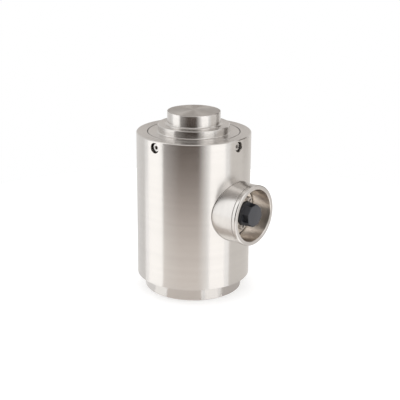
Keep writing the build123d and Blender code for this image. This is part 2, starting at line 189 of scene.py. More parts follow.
def glowing_material(name, color):
    """A card that glows evenly, for the stage only."""
    material, tree, surface = empty_material(name)
    feed(tree, add_node(tree, "ShaderNodeEmission", Color=color).outputs[0], surface)
    return material


print("node helpers are ready")

# %% [markdown]
# Bright metal has no look of its own: it shows the room. The photograph is a white studio, so the
# world is plain white. To the camera and in the metal it is full white, and as light on the object it
# is a little less, so that pale surfaces don't clip. The floor is a small pale disc that lights the
# foot of the sleeve from below. A glow that only the camera and the metal see lifts it to the white of
# the background, and leaves the soft shadow in it.

# %% World and floor
WORLD_LIGHT = 0.92
FLOOR_RADIUS = 0.30
FLOOR_SEGMENTS = 96
FLOOR_COLOR = (0.86, 0.86, 0.86)
FLOOR_LIFT = 0.37
FLOOR_DROP = 0.15 * MM


def seen_mask(tree, *rays):
    """1 for the camera and the named rays, and 0 for the light that falls on the object."""
    path = add_node(tree, "ShaderNodeLightPath").outputs
    mask = path["Is Camera Ray"]
    for ray in rays:
        mask = larger(tree, mask, path[ray])
    return mask


def make_world():
    """White for the camera and in the metal, a little under white as light on the object."""
    world = scene.world = bpy.data.worlds.new("white_studio")
    world.use_nodes = True
    tree = world.node_tree
    tree.nodes.clear()
    seen = seen_mask(tree, "Is Glossy Ray", "Is Transmission Ray")
    level = add_node(tree, "ShaderNodeMapRange", Value=seen, To_Min=WORLD_LIGHT, To_Max=1.0)
    light = add_node(tree, "ShaderNodeBackground", Color=(1, 1, 1), Strength=level.outputs[0])
    add_node(tree, "ShaderNodeOutputWorld", Surface=light.outputs[0])


def mesh_from(name, form):
    """Turns a finished bmesh form into a plain mesh."""
    mesh = bpy.data.meshes.new(name)
    form.to_mesh(mesh)
    form.free()
    return mesh


def make_floor():
    """A pale disc under the cell, white to the camera apart from the soft shadow."""
    form = bmesh.new()
    bmesh.ops.create_circle(form, cap_ends=True, segments=FLOOR_SEGMENTS, radius=FLOOR_RADIUS)
    floor = show("floor", mesh_from("floor", form))
    floor.location.z = -FLOOR_DROP
    material, tree, surface = empty_material("floor_pale")
    matt = add_node(tree, "ShaderNodeBsdfDiffuse", Color=FLOOR_COLOR)
    strength = times(tree, seen_mask(tree, "Is Glossy Ray"), FLOOR_LIFT)
    lift = add_node(tree, "ShaderNodeEmission", Strength=strength)
    both = add_node(tree, "ShaderNodeAddShader", matt.outputs[0], lift.outputs[0])
    feed(tree, both.outputs[0], surface)
    floor.data.materials.append(material)


make_world()
make_floor()
print("white world, floor disc", round(FLOOR_RADIUS * 2, 2), "m across")

# %% [markdown]
# The photograph's sleeve has a dark band down its middle, two bright bands beside it and dimmer edges.
# They are reflections, so they are made as a photographer makes them, with cards. The camera can't see
# these, only the metal can. A round mirror shows a card at twice the angle of the spot it is seen in,
# so each card is given by mirror angles: a spot's line of sight leaves it at that angle, and a card's
# corner is a point on that line. The sleeve's sides look down at the table, so boards lie there too.
# The base stands further in than the sleeve, and has boards of its own close to it. A row below is a
# span of angles, the two rims, each a distance and a height in metres, and the colour of the glow.

# %% Cards and boards
SLEEVE_RADIUS = 39.5 * MM
BASE_RADIUS = 34.0 * MM
STRIP_STEPS = 12
BOARD = 0.4 * MM
FOOT = 0.5 * MM
SLEEVE_CARDS = {
    "card_left": ((-168, -114), (0.60, -0.35), (0.60, 0.70), (0.81, 0.80, 0.79)),
    "card_right": ((80, 112), (0.62, -0.40), (0.62, 0.60), (0.82, 0.79, 0.76)),
    "card_flank": ((113, 139), (0.62, -0.40), (0.62, 0.60), (0.20, 0.18, 0.165)),
    "card_edge": ((140, 170), (0.62, -0.40), (0.62, 0.60), (0.78, 0.76, 0.74)),
    "board_rim": ((-168, -114), (-0.004, BOARD), (0.55, BOARD), (0.81, 0.80, 0.79)),
    "board_left": ((-102, -63.5), (0.02, BOARD), (0.55, BOARD), (1.38, 1.37, 1.35)),
    "board_right": ((33, 66), (0.02, BOARD), (0.55, BOARD), (1.38, 1.36, 1.34)),
    "board_flank": ((78, 170), (-0.004, BOARD), (0.55, BOARD), (0.78, 0.75, 0.72)),
}
BASE_CARDS = {
    "foot_rim": ((-168, -106), (0.0, FOOT), (0.024, FOOT), (0.86, 0.85, 0.84)),
    "foot_left": ((-102, -68), (0.0, FOOT), (0.024, FOOT), (1.10, 1.09, 1.07)),
    "foot_front": ((-64, 20), (0.0, FOOT), (0.024, FOOT), (0.74, 0.685, 0.645)),
    "foot_right": ((30, 62), (0.0, FOOT), (0.024, FOOT), (1.14, 1.12, 1.10)),
    "foot_flank": ((74, 170), (0.0, FOOT), (0.024, FOOT), (0.56, 0.53, 0.51)),
}


def seen_in(radius, mirror_angle, distance, height):
    """The place that a round side shows at a mirror angle, that far from the metal."""
    return around(mirror_angle / 2, radius, height) + around(mirror_angle, distance, 0)


def blend(first, last, share):
    """A value on the way from first to last."""
    return first + (last - first) * share


def add_strip(name, place, span, near, far, color):
    """A glowing strip between two rims, each a distance and a height, that shows only in the metal."""
    form = bmesh.new()
    columns = []
    for step in range(STRIP_STEPS + 1):
        angle = blend(*span, step / STRIP_STEPS)
        columns.append([form.verts.new(place(angle, *rim)) for rim in (near, far)])
    for left, right in zip(columns, columns[1:]):
        form.faces.new((left[0], right[0], right[1], left[1]))
    strip = show(name, mesh_from(name, form))
    strip.data.materials.append(glowing_material(name, color))
    strip.visible_camera = strip.visible_diffuse = strip.visible_shadow = False


seen_in_sleeve, seen_in_base = partial(seen_in, SLEEVE_RADIUS), partial(seen_in, BASE_RADIUS)
for name, row in SLEEVE_CARDS.items():
    add_strip(name, seen_in_sleeve, *row)
for name, row in BASE_CARDS.items():
    add_strip(name, seen_in_base, *row)
print(len(SLEEVE_CARDS), "cards for the sleeve,", len(BASE_CARDS), "for the base")

# %% [markdown]
# The flat tops look the other way, up and past the object, so their cards stand behind it and hang
# over it. A full-height one would make the tops one grey. Two heights at the back, a card at the right
# and a pale ceiling give the fans of light that a turned face shows. They are set out round the
# column's own axis.

# %% Cards for the flat tops
TOP_CARDS = {
    "card_back_low": ((160, 205), (0.80, 0.10), (0.80, 0.50), (0.64, 0.61, 0.585)),
    "card_back_high": ((156, 206), (0.80, 0.50), (0.80, 1.20), (0.42, 0.39, 0.365)),
    "card_side": ((70, 145), (0.80, 0.35), (0.80, 0.80), (0.58, 0.555, 0.535)),
    "card_ceiling": ((-180, 180), (0.01, 1.20), (1.02, 1.20), (0.76, 0.735, 0.715)),
}
for name, row in TOP_CARDS.items():
    add_strip(name, around, *row)
print(len(TOP_CARDS), "cards for the flat tops")

# %% [markdown]
# The dark band is a dark brown wall in front, near the camera, and the table before it. It isn't one
# tone: it gets lighter towards the base, where the sleeve looks at the near part of the table, and it
# fades to the right. So the wall and table are cut into narrow strips. A strip's share says how far it
# has come from the dark tones to the lit one, and the table's tones go outwards in steps.

# %% The dark wall and the table in front of it
WALL_RIMS = ((0.58, -0.35), (0.58, 0.70))
DARK_TONE = (0.036, 0.024, 0.018)
LIT_TONE = (1.05, 1.04, 1.03)
TABLE_EDGES = (0.02, 0.10, 0.145, 0.185, 0.225, 0.27, 0.33)
TABLE_TONES = (
    (0.87, 0.81, 0.765),
    (0.80, 0.74, 0.695),
    (0.70, 0.64, 0.595),
    (0.59, 0.53, 0.49),
    (0.48, 0.42, 0.385),
    (0.36, 0.305, 0.275),
)
RAMP_STEPS = 7
RAMPS = {
    "front_left": dict(span=(-63.5, -26), shares=(0.34, 0.0)),
    "front": dict(span=(-26, 10), shares=(0.0, 0.0)),
    "front_right": dict(span=(10, 31), shares=(0.0, 1.0)),
}


def towards_lit(tone, share):
    """A tone on the way to the lit one."""
    return [blend(dark, lit, share) for dark, lit in zip(tone, LIT_TONE)]


for name, ramp in RAMPS.items():
    for step in range(RAMP_STEPS):
        share = blend(*ramp["shares"], (step + 0.5) / RAMP_STEPS)
        span = [blend(*ramp["span"], (step + end) / RAMP_STEPS) for end in (0, 1)]
        dark = towards_lit(DARK_TONE, share)
        add_strip(f"{name}_wall_{step}", seen_in_sleeve, span, *WALL_RIMS, dark)
        for near, far, tone in zip(TABLE_EDGES, TABLE_EDGES[1:], TABLE_TONES):
            add_strip(f"{name}_table_{step}", seen_in_sleeve, span, (near, BOARD), (far, BOARD),
                      towards_lit(tone, share))
print(len(RAMPS) * RAMP_STEPS, "strips of wall, each with", len(TABLE_TONES), "steps of table")

# %% [markdown]
# Two tall area lamps stand in the directions that the sleeve's bright bands mirror. They are weak,
# because the white world already lights the object: they only add a little to those bands.

# %% Lamps
LAMP_DISTANCE = 0.60
LAMP_HEIGHT = 1.20
LAMP_MIDDLE = 0.45
LAMPS = {
    "lamp_left": dict(angle=-82, width=0.37, power=0.74),
    "lamp_right": dict(angle=49, width=0.33, power=0.62),
}


def make_lamp(name, angle, width, power):
    """A soft upright lamp that faces the column."""
    data = bpy.data.lights.new(name, "AREA")
    data.shape = "RECTANGLE"
    data.size, data.size_y = width, LAMP_HEIGHT
    data.energy = power
    lamp = show(name, data)
    lamp.location = around(angle, LAMP_DISTANCE, LAMP_MIDDLE)
    inwards = Vector((0, 0, LAMP_MIDDLE)) - lamp.location
    lamp.rotation_euler = inwards.to_track_quat("-Z", "Y").to_euler()
    lamp.visible_camera = False


for name, values in LAMPS.items():
    make_lamp(name, **values)
print(len(LAMPS), "lamps")

# %% [markdown]
# A turned surface carries the cutter's path as fine rings round its own axis. Seen from a step away
# they don't show one by one, but they smear every reflection across the rings: upright on the sides,
# and outward on the flat tops. Two things make that: an anisotropic shine whose direction runs round
# the axis, and a faint relief of rings for the close view. The rings are used by several steels, so
# they are a node group. It measures the radius and the height in the piece's own coordinates, and
# reads a fine and a broad noise with them, so the pattern can't change round the axis.

# %% Node group: rings left by turning
FINE_SHARE, FINE_DETAIL = 0.6, 3.0
BROAD_SHARE, BROAD_DETAIL, BROAD_SCALE = 0.4, 2.0, 0.08


def new_sockets(tree, in_out, sockets):
    """Gives a tree named sockets. A kind is the word after NodeSocket, and a default may follow it."""
    for name, kind, *default in sockets:
        made = tree.interface.new_socket(name=name, in_out=in_out, socket_type="NodeSocket" + kind)
        if default:
            made.default_value = default[0]


def new_group(name, inputs, outputs):
    """A shader group with named sockets: its tree, what it is given, and its result."""
    tree = bpy.data.node_groups.new(name, "ShaderNodeTree")
    new_sockets(tree, "INPUT", inputs)
    new_sockets(tree, "OUTPUT", outputs)
    return tree, add_node(tree, "NodeGroupInput").outputs, add_node(tree, "NodeGroupOutput")


def noise(tree, vector, scale, detail, **named):
    """A soft noise that drifts about a half."""
    node = add_node(tree, "ShaderNodeTexNoise", Vector=vector, Scale=scale, Detail=detail, **named)
    return node.outputs["Fac"]


def make_turned_rings():
    """Relief and tone of turning marks round the Z axis of the given coordinates."""
    tree, given, result = new_group(
        "turned_rings",
        [("Vector", "Vector"), ("Rings per mm", "Float"), ("Tone", "Float"), ("Color", "Color")],
        [("Color", "Color"), ("Height", "Float")],
    )
    x, y, z = split_node(tree, given["Vector"])
    radius = math_node("SQRT", tree, plus(tree, times(tree, x, x), times(tree, y, y)))
    flat = join_node(tree, radius, z)
    scale = times(tree, given["Rings per mm"], 1 / MM)
    fine = noise(tree, flat, scale, FINE_DETAIL, noise_dimensions="2D")
    broad_scale = times(tree, scale, BROAD_SCALE)
    broad = noise(tree, flat, broad_scale, BROAD_DETAIL, noise_dimensions="2D")
    mixed = plus(tree, times(tree, fine, FINE_SHARE), times(tree, broad, BROAD_SHARE))
    shade = times(tree, minus(tree, mixed, 0.5), given["Tone"])
    value = plus(tree, times(tree, shade, 2.0), 1.0)
    grey = add_node(tree, "ShaderNodeCombineColor", value, value, value)
    tint = add_node(tree, "ShaderNodeMix", data_type="RGBA", blend_type="MULTIPLY", Factor=1.0,
                    A=given["Color"], B=grey.outputs[0])
    feed_all(tree, result, Color=tint.outputs["Result"], Height=fine)
    return tree


turned_rings = make_turned_rings()
print("group", turned_rings.name, "with", len(turned_rings.nodes), "nodes")

# %% [markdown]
# Handled metal and plastic are never evenly clean. A second group makes the soft cloudy patches that
# fingers and wiping leave. It only changes the roughness a little, so it shows where a highlight
# crosses it and nowhere else.

# %% Node group: handling marks
CLOUD_DETAIL, CLOUD_DISTORTION = 4.0, 0.4


def make_handling():
    """A roughness that drifts softly round a middle value."""
    tree, given, result = new_group(
        "handling_marks",
        [("Vector", "Vector"), ("Roughness", "Float"), ("Drift", "Float"), ("Patch mm", "Float")],
        [("Roughness", "Float"), ("Mask", "Float")],
    )
    scale = over(tree, 1 / MM, given["Patch mm"])
    cloud = noise(tree, given["Vector"], scale, CLOUD_DETAIL, Distortion=CLOUD_DISTORTION)
    drift = times(tree, times(tree, minus(tree, cloud, 0.5), 2.0), given["Drift"])
    feed_all(tree, result, Roughness=plus(tree, given["Roughness"], drift), Mask=cloud)
    return tree


handling_marks = make_handling()
print("group", handling_marks.name, "with", len(handling_marks.nodes), "nodes")

# %% [markdown]
# Two more effects belong to several finishes, and both are painted light. Every edge is painted a
# little lighter than the faces beside it, a painted highlight: the group finds edges by comparing the
# surface with a slightly rounded copy of it. And wherever two turned pieces meet in a ring, the joint
# is painted darker, a painted shade in the gap. That group needs only the distance from the ring's
# axis.

# %% Node groups: painted edge highlight and painted joint shade
EDGE_SAMPLES = 4


# This edge mask is used to paint a highlight on edges.
def make_edge_highlight_mask():
    """A mask that is 1 on edges and 0 on faces."""
    tree, given, result = new_group(
        "edge_highlight_mask", [("Edge mm", "Float"), ("Gain", "Float")], [("Mask", "Float")],
    )
    radius = times(tree, given["Edge mm"], MM)
    rounded = add_node(tree, "ShaderNodeBevel", samples=EDGE_SAMPLES, Radius=radius).outputs["Normal"]
    plain = add_node(tree, "ShaderNodeNewGeometry").outputs["Normal"]
    compare = add_node(tree, "ShaderNodeVectorMath", rounded, plain, operation="DOT_PRODUCT")
    strong = times(tree, minus(tree, 1.0, compare.outputs["Value"]), given["Gain"])
    feed_all(tree, result, Mask=math_node("MINIMUM", tree, strong, 1.0))
    return tree


# A ring mask: it paints shade into joints, and also finds the core round an axis.
def make_ring_mask():
    """A mask that is 1 in a narrow ring at a given distance from the Z axis."""
    tree, given, result = new_group(
        "ring_mask",
        [("Vector", "Vector"), ("Ring mm", "Float"), ("Half width mm", "Float")],
        [("Mask", "Float")],
    )
    per_mm = (1 / MM, 1 / MM, 0)
    flat = add_node(tree, "ShaderNodeVectorMath", given["Vector"], per_mm, operation="MULTIPLY")
    reach = add_node(tree, "ShaderNodeVectorMath", flat.outputs[0], operation="LENGTH")
    offset = size_of(tree, minus(tree, reach.outputs["Value"], given["Ring mm"]))
    share = over(tree, offset, given["Half width mm"])
    feed_all(tree, result, Mask=larger(tree, minus(tree, 1.0, share), 0.0))
    return tree


edge_highlight_mask = make_edge_highlight_mask()
ring_mask = make_ring_mask()
print("groups", edge_highlight_mask.name, ring_mask.name)

# %% [markdown]
# All materials begin alike: a shader, its output, and the piece's own coordinates, in which a pattern
# stays put when the object moves. The port's pieces were turned about the port, not the column, so
# their rings need coordinates whose Z runs along the port's axis. A few helpers do that, place a group
# with its values, blend two colours by a mask, and feed a relief into the normal.

# %% Helpers for materials
PORT_HEIGHT = 62.7 * MM


def start_material(name):
    """A material with its shader in place, and the piece's own coordinates."""
    material, tree, surface = empty_material(name)
    shader = add_node(tree, "ShaderNodeBsdfPrincipled")
    feed(tree, shader.outputs[0], surface)
    return material, tree, shader, add_node(tree, "ShaderNodeTexCoord").outputs["Object"]


def add_group(tree, group, **inputs):
    """Places a node group, feeds its named inputs and gives its outputs."""
    return add_node(tree, "ShaderNodeGroup", node_tree=group, **inputs).outputs


def mix_color(tree, mask, first, second):
    """Blends one colour or socket towards another by a mask."""
    node = add_node(tree, "ShaderNodeMix", data_type="RGBA", Factor=mask, A=first, B=second)
    return node.outputs["Result"]


def scaled(color, factor):
    """A colour made darker or lighter, at most white."""
    return tuple(min(1.0, channel * factor) for channel in color)


def add_bump(tree, shader, height, distance):
    """Feeds a relief, its depth in millimetres, into the shader's normal."""
    bump = add_node(tree, "ShaderNodeBump", Height=height, Distance=distance * MM)
    feed(tree, bump.outputs[0], shader.inputs["Normal"])


def about_port_axis(tree, vector):
    """Coordinates whose Z runs along the port's axis."""
    return add_node(tree, "ShaderNodeMapping", Vector=vector, Location=(-PORT_HEIGHT, 0, 0),
                    Rotation=(0, math.pi / 2, 0)).outputs[0]


print("port axis", round(PORT_HEIGHT / MM, 1), "mm above the floor")

# %% [markdown]
# The steels differ only in numbers: which axis they were turned on, how rough the cut is on the sides
# and on the faces, how far the shine is smeared, and where their joints are, whose rings get painted
# shade. One function makes them all. The tangent of the shine runs round the turning axis, and the
# anisotropy is turned a quarter so that the smear crosses the rings. Their edges get a painted
# highlight. Two places near an axis have a finish of their own. The crown of the button is ground, so
# it is duller than the flats round it. The bore of the collar is lighter and warmer, a painted
# reflection of the brownish light inside it.

# %% Steel
STEEL_COLOR = (0.690, 0.667, 0.643)
FLANGE_COLOR = (0.93, 0.90, 0.86)
# The weld bead's darker colour: partly heat tint, partly painted shade of the seam's corner.
WELD_TINT_AND_SHADE_COLOR = (0.42, 0.39, 0.36)
# Painted shade: joints between turned pieces are blended towards this dark colour.
JOINT_SHADE_COLOR = (0.10, 0.088, 0.078)
# Painted reflection: the bore is lighter and warmer than the rest of the collar.
BORE_WARM_REFLECTION_COLOR = (0.82, 0.755, 0.69)
CROWN_COLOR = (0.58, 0.55, 0.52)
# Painted highlight: edges are blended towards this lighter colour.
EDGE_HIGHLIGHT_COLOR = (0.88, 0.87, 0.85)
EDGE_WIDTH, EDGE_GAIN, EDGE_HIGHLIGHT_SHARE = 0.3, 3.0, 0.6
TOUCH_DRIFT, TOUCH_PATCH = 0.02, 16.0
RINGS_PER_MM, RING_DEPTH, RING_TONE = 4.0, 0.012, 0.08
FACE_LIMIT = 0.95
QUARTER_TURN = 0.25
STEELS = {
    "column_steel": dict(axis="Z", color=STEEL_COLOR, side=0.22, face=0.26, smear=0.88,
                         joints=[("Z", 31.7, 0.45)], core=(18.1, 120.0, 0.50, CROWN_COLOR)),
    "sleeve_steel": dict(axis="Z", color=STEEL_COLOR, side=0.20, face=0.26, smear=0.86,
                         joints=[("Z", 31.8, 0.45), ("X", 20.6, 0.35)]),
    # The collar's bore gets the lighter, warmer colour of a painted reflection.
    "collar_steel": dict(axis="X", color=STEEL_COLOR, side=0.23, face=0.32, smear=0.80,
                         joints=[], core=(17.95, 0.0, 0.28, BORE_WARM_REFLECTION_COLOR)),
    "flange_steel": dict(axis="X", color=FLANGE_COLOR, side=0.24, face=0.20, smear=0.30,
                         joints=[("X", 8.4, 0.5), ("X", 17.5, 0.5)]),
    # The bead is darker: partly heat tint, partly painted shade.
    "weld_tint_and_shade": dict(axis="X", color=WELD_TINT_AND_SHADE_COLOR, side=0.34, face=0.34, smear=0.30, joints=[]),
}


def face_mask(tree, axis):
    """1 where the surface faces along the turning axis, and 0 on the sides."""
    normal = add_node(tree, "ShaderNodeNewGeometry").outputs["True Normal"]
    return above(tree, size_of(tree, split_node(tree, normal)[axis]), FACE_LIMIT)


def core_mask(tree, vector, along, reach, beyond):
    """1 within a reach of the axis and past a place along it, both in millimetres."""
    inside = add_group(tree, ring_mask, Vector=vector, Ring_mm=0.0, Half_width_mm=reach)["Mask"]
    return times(tree, above(tree, inside, 0.0), above(tree, along, beyond * MM))


def make_steel(name, axis, color, side, face, smear, joints, core=None):
    """A turned steel.

    A joint is its axis, radius and half width, and its ring is darkened with painted shade. A core is
    its reach, where it starts along the axis, its roughness and its colour. Edges are lightened with a
    painted highlight. Lengths are in millimetres.
    """
    material, tree, shader, plain = start_material(name)
    about = {"Z": plain, "X": about_port_axis(tree, plain)}
    place = split_node(tree, plain)
    touch = add_group(tree, handling_marks, Vector=about[axis], Roughness=0.0, Drift=TOUCH_DRIFT,
                      Patch_mm=TOUCH_PATCH)
    cut = add_node(tree, "ShaderNodeMix", Factor=face_mask(tree, axis), A=side, B=face)
    rough = plus(tree, cut.outputs["Result"], touch["Roughness"])
    if core:
        reach, beyond, core_rough, core_color = core
        is_core = core_mask(tree, about[axis], place[axis], reach, beyond)
        rough = larger(tree, rough, times(tree, is_core, core_rough))
        color = mix_color(tree, is_core, color, core_color)
    marks = add_group(tree, turned_rings, Vector=about[axis], Rings_per_mm=RINGS_PER_MM,
                      Tone=RING_TONE, Color=color)
    # Painted highlight: edges are lightened.
    edges = add_group(tree, edge_highlight_mask, Edge_mm=EDGE_WIDTH, Gain=EDGE_GAIN)
    tint = mix_color(tree, times(tree, edges["Mask"], EDGE_HIGHLIGHT_SHARE), marks["Color"], EDGE_HIGHLIGHT_COLOR)
    # Painted shade: each joint's ring is darkened.
    for joint_axis, ring, half_width in joints:
        joint_shade = add_group(tree, ring_mask, Vector=about[joint_axis], Ring_mm=ring,
                          Half_width_mm=half_width)["Mask"]
        if joint_axis == "X":
            joint_shade = times(tree, joint_shade, above(tree, place["X"], 0.0))
        tint = mix_color(tree, joint_shade, tint, JOINT_SHADE_COLOR)
    direction = add_node(tree, "ShaderNodeTangent", direction_type="RADIAL", axis=axis)
    feed_all(tree, shader, Base_Color=tint, Roughness=rough, Metallic=1.0, Anisotropic=smear,
             Anisotropic_Rotation=QUARTER_TURN, Tangent=direction.outputs[0])
    add_bump(tree, shader, marks["Height"], RING_DEPTH)
    return material


materials = {name: make_steel(name, **values) for name, values in STEELS.items()}
print("steels", sorted(materials))

# %% [markdown]
# The cap is moulded from dark plastic with a little blue in it. Its skin is satin, so the flats that
# face the room are grey and the pockets are black. Real mouldings have a very fine spark-eroded grain,
# which softens the reflection without showing as dots. The rubbers and the wire's jacket inside the
# cell are made the same way, each with its own grain.

# %% Moulded plastics and rubbers
GRAIN_DARK, GRAIN_LIGHT = 0.85, 1.15
SKIN_DETAIL, SKIN_DRIFT, SKIN_PATCH = 2.0, 0.06, 8.0
SOFT_FINISHES = {
    "cap_plastic": dict(color=(0.064, 0.066, 0.074), rough=0.36, grain=0.25, depth=0.008, gloss=0.35),
    "insulator_plastic": dict(color=(0.045, 0.045, 0.050), rough=0.50, grain=0.20, depth=0.008),
    "seal_rubber": dict(color=(0.018, 0.018, 0.018), rough=0.62, grain=0.30, depth=0.015),
    "gasket_rubber": dict(color=(0.060, 0.060, 0.060), rough=0.75, grain=0.35, depth=0.020),
    "lead_jacket": dict(color=(0.080, 0.080, 0.090), rough=0.55, grain=0.30, depth=0.010),
    "bridge_wire": dict(color=(0.450, 0.045, 0.035), rough=0.45, grain=0.20, depth=0.005),
    "resistor_body": dict(color=(0.030, 0.030, 0.035), rough=0.40, grain=0.15, depth=0.006),
    "terminal_laminate": dict(color=(0.520, 0.450, 0.200), rough=0.45, grain=0.40, depth=0.010),
}


def make_moulded(name, color, rough, grain, depth, gloss=0.5):
    """Plastic or rubber with a fine moulded grain. Grain and depth are in millimetres."""
    material, tree, shader, vector = start_material(name)
    skin = noise(tree, vector, 1 / (grain * MM), SKIN_DETAIL)
    tint = mix_color(tree, skin, scaled(color, GRAIN_DARK), scaled(color, GRAIN_LIGHT))
    touch = add_group(tree, handling_marks, Vector=vector, Roughness=rough, Drift=SKIN_DRIFT,
                      Patch_mm=SKIN_PATCH)
    feed_all(tree, shader, Base_Color=tint, Roughness=touch["Roughness"], Specular_IOR_Level=gloss)
    add_bump(tree, shader, skin, depth)
    return material


for name, values in SOFT_FINISHES.items():
    materials[name] = make_moulded(name, **values)
print("mouldings", sorted(SOFT_FINISHES))

# %% [markdown]
# The small metal pieces are too small to show rings: screws are bright and slightly mottled, the
# connector is plated, its contacts are gilded, and the pillars under the board are bare brass.

# %% Small metals
PATCH_DARK, PATCH_LIGHT = 0.92, 1.06
PATCH_DRIFT = 0.08
SMALL_METALS = {
    "screw_steel": dict(color=(0.66, 0.645, 0.63), rough=0.26, patch=1.5),
    "connector_metal": dict(color=(0.66, 0.65, 0.64), rough=0.30, patch=3.0),
    "contact_metal": dict(color=(0.86, 0.63, 0.28), rough=0.22, patch=1.0),
    "pillar_brass": dict(color=(0.74, 0.56, 0.30), rough=0.30, patch=2.0),
}


def make_small_metal(name, color, rough, patch):
    """Bright metal whose shine drifts over patches of the given size in millimetres."""
    material, tree, shader, vector = start_material(name)
    touch = add_group(tree, handling_marks, Vector=vector, Roughness=rough, Drift=PATCH_DRIFT,
                      Patch_mm=patch)
    tint = mix_color(tree, touch["Mask"], scaled(color, PATCH_DARK), scaled(color, PATCH_LIGHT))
    feed_all(tree, shader, Base_Color=tint, Roughness=touch["Roughness"], Metallic=1.0)
    return material


for name, values in SMALL_METALS.items():
    materials[name] = make_small_metal(name, **values)
print("small metals", sorted(SMALL_METALS))

# %% [markdown]
# Inside, where nobody looks until the cell is opened, the strain gauges are amber film with bright
# foil strands that stand a little proud of it, and the ring-shaped board is green laminate. The film
# tells foil from backing by the distance from the axis. The laminate's faint weave is a fine checker.

# %% Gauge film and board laminate
GAUGE_FLAT = 15.0 * MM
FOIL_LEVEL = 0.22 * MM
FILM_COLOR = (0.62, 0.36, 0.10)
FOIL_COLOR = (0.72, 0.66, 0.55)
WEAVE_DARK = (0.030, 0.180, 0.080)
WEAVE_LIGHT = (0.040, 0.215, 0.098)
WEAVE_SIZE = 0.4 * MM
WEAVE_DEPTH = 0.01
INSIDE_ROUGHNESS = 0.35


def make_gauge_film():
    """Amber film, and foil wherever the surface stands above the film."""
    material, tree, shader, vector = start_material("gauge_film")
    x, y, _ = split_node(tree, vector)
    reach = larger(tree, size_of(tree, x), size_of(tree, y))
    foil = above(tree, reach, GAUGE_FLAT + FOIL_LEVEL)
    feed_all(tree, shader, Base_Color=mix_color(tree, foil, FILM_COLOR, FOIL_COLOR), Metallic=foil,
             Roughness=INSIDE_ROUGHNESS)
    return material


def make_board_laminate():
    """Green laminate with a faint glass weave."""
    material, tree, shader, vector = start_material("board_laminate")
    weave = add_node(tree, "ShaderNodeTexChecker", Vector=vector, Scale=1 / WEAVE_SIZE,
                     Color1=WEAVE_DARK, Color2=WEAVE_LIGHT)
    feed_all(tree, shader, Base_Color=weave.outputs["Color"], Roughness=INSIDE_ROUGHNESS)
    add_bump(tree, shader, weave.outputs["Fac"], WEAVE_DEPTH)
    return material


materials["gauge_film"] = make_gauge_film()
materials["board_laminate"] = make_board_laminate()
print("gauge film and laminate made,", len(materials), "materials in all")

# %% [markdown]
# Screws repeat, so one tree of Geometry Nodes makes a screw and sets it round a circle. The head is a
# cylinder whose every second rim point is pulled in, which gives the knurl of a cap screw. The top
# ring is drawn in for the chamfer, a hexagon is cut out for the key, and a shank is joined below. The
# same tree serves the four radial sleeve screws and, with other sizes, the four that hold the
# connector flange down: only one switch says whether a screw points outward or along the circle's axis.

# %% Helpers for geometry
def new_tree(name, *inputs):
    """A geometry tree with named inputs: the tree, their sockets, and the one to end in."""
    tree = bpy.data.node_groups.new(name, "GeometryNodeTree")
    new_sockets(tree, "OUTPUT", [("Geometry", "Geometry")])
    new_sockets(tree, "INPUT", inputs)
    given = add_node(tree, "NodeGroupInput").outputs
    return tree, given, add_node(tree, "NodeGroupOutput").inputs["Geometry"]


def end_tree(tree, geometry, finish, result):
    """Every tree ends in real geometry with its material."""
    real = add_node(tree, "GeometryNodeRealizeInstances", geometry).outputs[0]
    dressed = add_node(tree, "GeometryNodeSetMaterial", Geometry=real, Material=materials[finish])
    feed(tree, dressed.outputs[0], result)
    return tree


def cylinder(tree, sides, radius, depth, levels=1):
    """A closed cylinder round Z, centred on the origin."""
    return add_node(tree, "GeometryNodeMeshCylinder", fill_type="NGON", Vertices=sides,
                    Side_Segments=levels, Radius=radius, Depth=depth).outputs["Mesh"]


def lifted(tree, geometry, height):
    """Geometry moved up by a socket or a number."""
    place = join_node(tree, 0, 0, height)
    return add_node(tree, "GeometryNodeTransform", Geometry=geometry, Translation=place).outputs[0]


def boolean_node(tree, operation, first, second):
    """Joins two closed meshes, or cuts the second out of the first."""
    node = add_node(tree, "GeometryNodeMeshBoolean", operation=operation)
    feed(tree, first, node.inputs["Mesh 1" if operation == "DIFFERENCE" else "Mesh 2"])
    feed(tree, second, node.inputs["Mesh 2"])
    return node.outputs["Mesh"]


print("geometry helpers are ready")

# %% Node tree: a screw head with its knurl and chamfer
HEAD_LEVELS = 4
CHAMFER_LEVEL, TOP_LEVEL = 0.70, 0.99


def knurled_head(tree, given):
    """The head above the seat: the knurled rim, and a chamfer round the top."""
    height, radius, chamfer = given["Head Height"], given["Head Radius"], given["Chamfer"]
    body = cylinder(tree, times(tree, given["Knurls"], 2), radius, height, HEAD_LEVELS)
    body = lifted(tree, body, over(tree, height, 2))
    x, y, z = split_node(tree, add_node(tree, "GeometryNodeInputPosition").outputs[0])
    level = over(tree, z, height)
    is_top = above(tree, level, TOP_LEVEL)
    is_below_top = minus(tree, above(tree, level, CHAMFER_LEVEL), is_top)
    angle = math_node("ARCTAN2", tree, y, x)
    wave = math_node("COSINE", tree, times(tree, angle, given["Knurls"]))
    valley = times(tree, minus(tree, 1.0, wave), 0.5)
    knurl = minus(tree, 1.0, times(tree, valley, over(tree, given["Knurl Depth"], radius)))
    drawn_in = minus(tree, 1.0, over(tree, chamfer, radius))
    scale = add_node(tree, "ShaderNodeMix", Factor=is_top, A=knurl, B=drawn_in).outputs["Result"]
    rise = times(tree, minus(tree, minus(tree, height, chamfer), z), is_below_top)
    place = join_node(tree, times(tree, x, scale), times(tree, y, scale), plus(tree, z, rise))
    return add_node(tree, "GeometryNodeSetPosition", Geometry=body, Position=place).outputs[0]


print("a head's rim is moved at", HEAD_LEVELS + 1, "levels")

# %% Node tree: socket screws round a circle
SCREW_COUNT = 4
SHANK_SIDES, KEY_SIDES = 32, 6
SHANK_OVERLAP = 0.1


